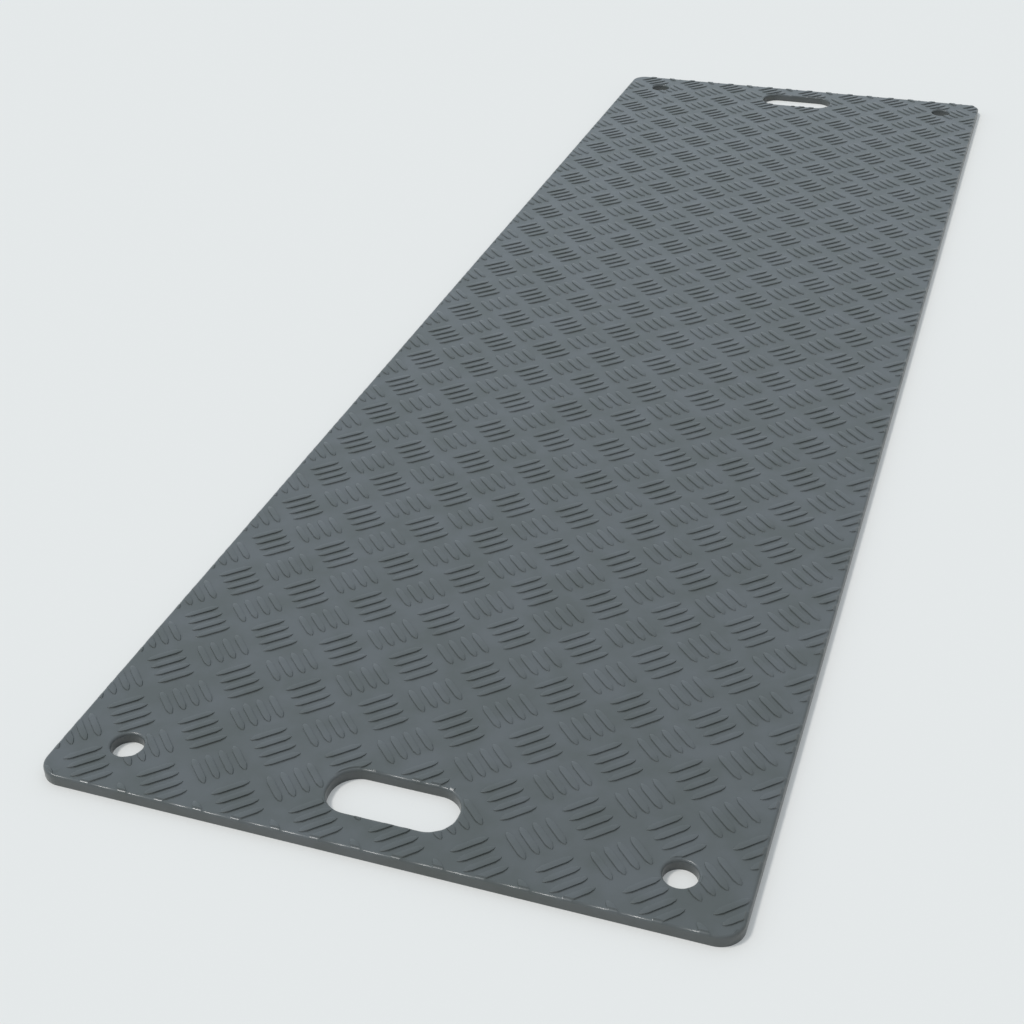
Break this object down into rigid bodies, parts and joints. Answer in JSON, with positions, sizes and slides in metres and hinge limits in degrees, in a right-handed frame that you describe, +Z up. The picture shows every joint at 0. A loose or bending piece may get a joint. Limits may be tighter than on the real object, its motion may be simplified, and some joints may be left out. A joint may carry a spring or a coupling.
{
  "type": "ground protection mat",
  "caption": "Long rectangular plastic ground protection mat with a chequer tread of raised bars, hand slots at both ends and fixing holes in the corners.",
  "frame": {"origin": "middle of the flat underside", "axes": "+X across the mat, +Y along its length, +Z up from the underside to the tread"},
  "size_m": [0.76, 2.44, 0.015],
  "materials": {
    "mat_plastic": "satin dark slate grey moulded polyethylene"
  },
  "bodies": {
    "root": {"mat": "mat_plastic"}
  },
  "joints": []
}
